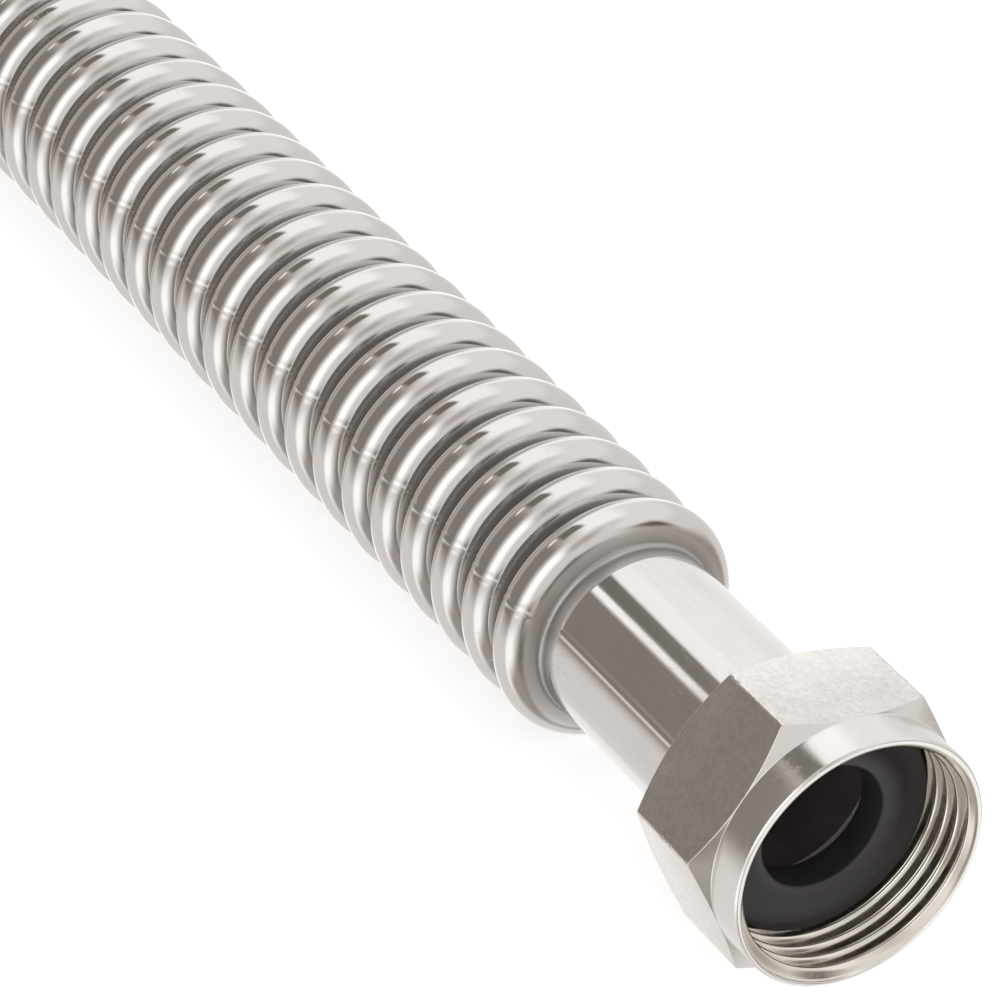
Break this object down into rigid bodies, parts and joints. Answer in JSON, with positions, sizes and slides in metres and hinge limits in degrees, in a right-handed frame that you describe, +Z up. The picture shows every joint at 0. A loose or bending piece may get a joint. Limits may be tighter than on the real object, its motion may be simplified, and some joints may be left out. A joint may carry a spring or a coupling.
{
  "type": "corrugated water connector",
  "caption": "Corrugated stainless steel water connector with plain cuffs and a swivel hexagon nut and rubber washer at each end.",
  "frame": {"origin": "on the floor below the middle of the tube, with both nuts resting on a flat", "axes": "+X along the tube's axis towards end a, +Z up, across the flats of the nuts"},
  "size_m": [0.305, 0.0324, 0.028],
  "materials": {
    "stainless_tube": "bright annealed, polished",
    "nut_steel": "satin flats, turned collar",
    "rubber": "matt",
    "nylon": "matt"
  },
  "bodies": {
    "tube": {"corrugated_tube": "stainless_tube", "rubber_washer_a": "rubber", "rubber_washer_b": "rubber"},
    "ring_a": {"slip_ring_a": "nylon"},
    "nut_a": {"swivel_nut_a": "nut_steel"},
    "ring_b": {"slip_ring_b": "nylon"},
    "nut_b": {"swivel_nut_b": "nut_steel"}
  },
  "joints": [
    {"name": "nut_slide_a", "type": "slide", "parent": "tube", "child": "ring_a", "axis": [-1, 0, 0], "range_m": [0, 0.0265]},
    {"name": "nut_spin_a", "type": "hinge", "parent": "ring_a", "child": "nut_a", "pos_m": [0.15246, 0, 0.014], "axis": [1, 0, 0], "continuous": true},
    {"name": "nut_slide_b", "type": "slide", "parent": "tube", "child": "ring_b", "axis": [1, 0, 0], "range_m": [0, 0.0265]},
    {"name": "nut_spin_b", "type": "hinge", "parent": "ring_b", "child": "nut_b", "pos_m": [-0.15246, 0, 0.014], "axis": [-1, 0, 0], "continuous": true}
  ]
}
